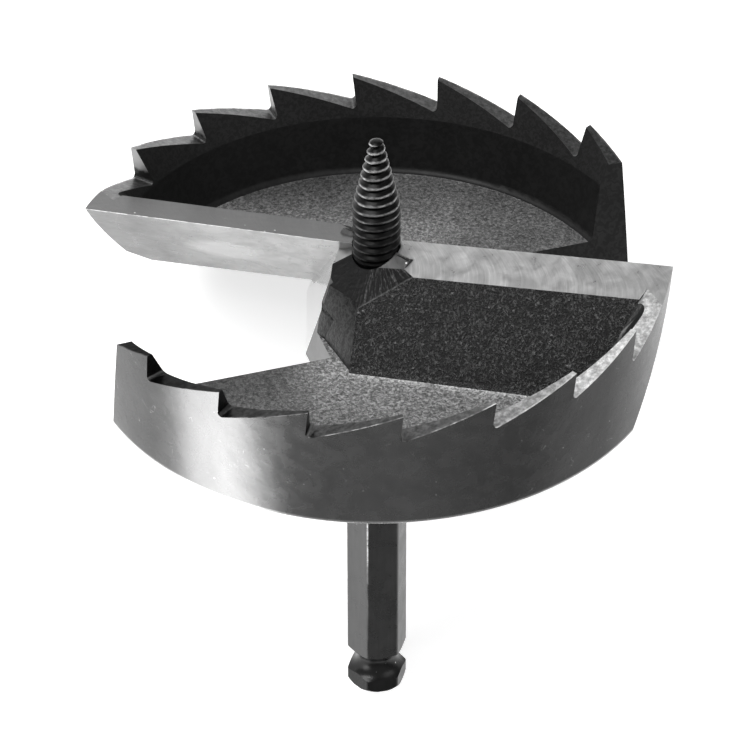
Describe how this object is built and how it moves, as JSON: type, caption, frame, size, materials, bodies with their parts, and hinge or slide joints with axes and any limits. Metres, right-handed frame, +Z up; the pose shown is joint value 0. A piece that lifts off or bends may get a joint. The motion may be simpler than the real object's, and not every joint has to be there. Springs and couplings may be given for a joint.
{
  "type": "wood hole saw",
  "caption": "Self-feeding hole saw for wood: two toothed rim sectors, two raked radial blades, a threaded feed screw and a hex shank.",
  "frame": {"origin": "middle of the lying tool's outline box, on the surface it lies on", "axes": "+Z up from the surface; +Y level, from the shank's end towards the toothed rim; +X across the head"},
  "size_m": [0.1122, 0.1304, 0.113],
  "materials": {
    "forged_steel": "black forged surfaces with ground outer faces, blades and tooth flanks",
    "blackened_steel": "black oxide, worn bright on the thread's crests"
  },
  "bodies": {
    "root": {"cutter_head": "forged_steel", "feed_screw": "blackened_steel"}
  },
  "joints": []
}
